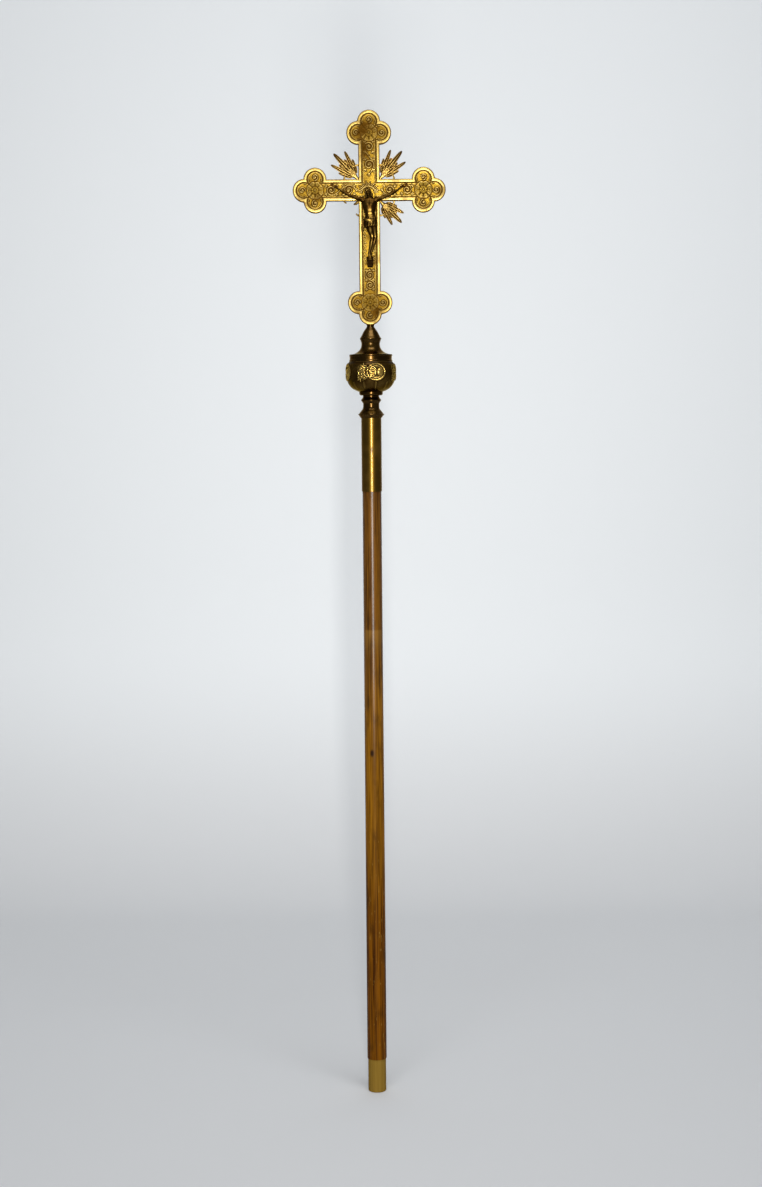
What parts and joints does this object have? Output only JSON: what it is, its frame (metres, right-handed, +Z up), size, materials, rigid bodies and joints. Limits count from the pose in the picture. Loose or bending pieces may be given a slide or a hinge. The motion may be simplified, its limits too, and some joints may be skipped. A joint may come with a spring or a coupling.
{
  "type": "processional cross",
  "caption": "Gilt sheet cross with trefoil ends, cast figure and flame rays, lifting out of a turned brass knop whose socket slips over a wooden carrying staff.",
  "frame": {"origin": "centre of the staff's foot, where it meets the floor", "axes": "+Z up the staff, +X to the viewer's right along the cross arms, the figure faces -Y"},
  "size_m": [0.2712, 0.0942, 1.7849],
  "materials": {
    "gilt_sheet": "gilt, embossed and worn",
    "gilt_cast": "cast, gilt and tarnished",
    "knop_brass": "polished and darkened",
    "figure_bronze": "dark patina worn to metal on the raised parts",
    "iron": "forged",
    "staff_wood": "varnished",
    "core_wood": "bare"
  },
  "bodies": {
    "staff": {"staff": "staff_wood"},
    "knop": {"socket_tube": "knop_brass", "socket_collar": "knop_brass", "lower_neck": "knop_brass", "bulb_cup": "knop_brass", "knop_bulb": "knop_brass", "knop_band": "knop_brass", "knop_cap": "knop_brass", "top_bead": "knop_brass", "neck_cup": "knop_brass", "tie_tube": "iron", "tie_washer": "iron", "tie_nut": "iron"},
    "cross": {"cross_core": "core_wood", "cross_front_sheet": "gilt_sheet", "cross_back_sheet": "gilt_sheet", "cross_tang": "iron", "tang_screws": "iron", "rosettes": "gilt_sheet", "corpus_body": "figure_bronze", "corpus_right_arm": "figure_bronze", "corpus_left_arm": "figure_bronze", "foot_rest": "figure_bronze", "nails": "gilt_cast", "nail_nuts": "iron", "rays_upper_left": "gilt_cast", "rays_upper_right": "gilt_cast", "rays_lower_right": "gilt_cast", "rays_lower_left_stub": "gilt_cast"}
  },
  "joints": [
    {"name": "head_lift", "type": "slide", "parent": "staff", "child": "knop", "axis": [0, 0, 1], "range_m": [0, 0.13]},
    {"name": "cross_lift", "type": "slide", "parent": "knop", "child": "cross", "axis": [0, 0, 1], "range_m": [0, 0.066]}
  ]
}
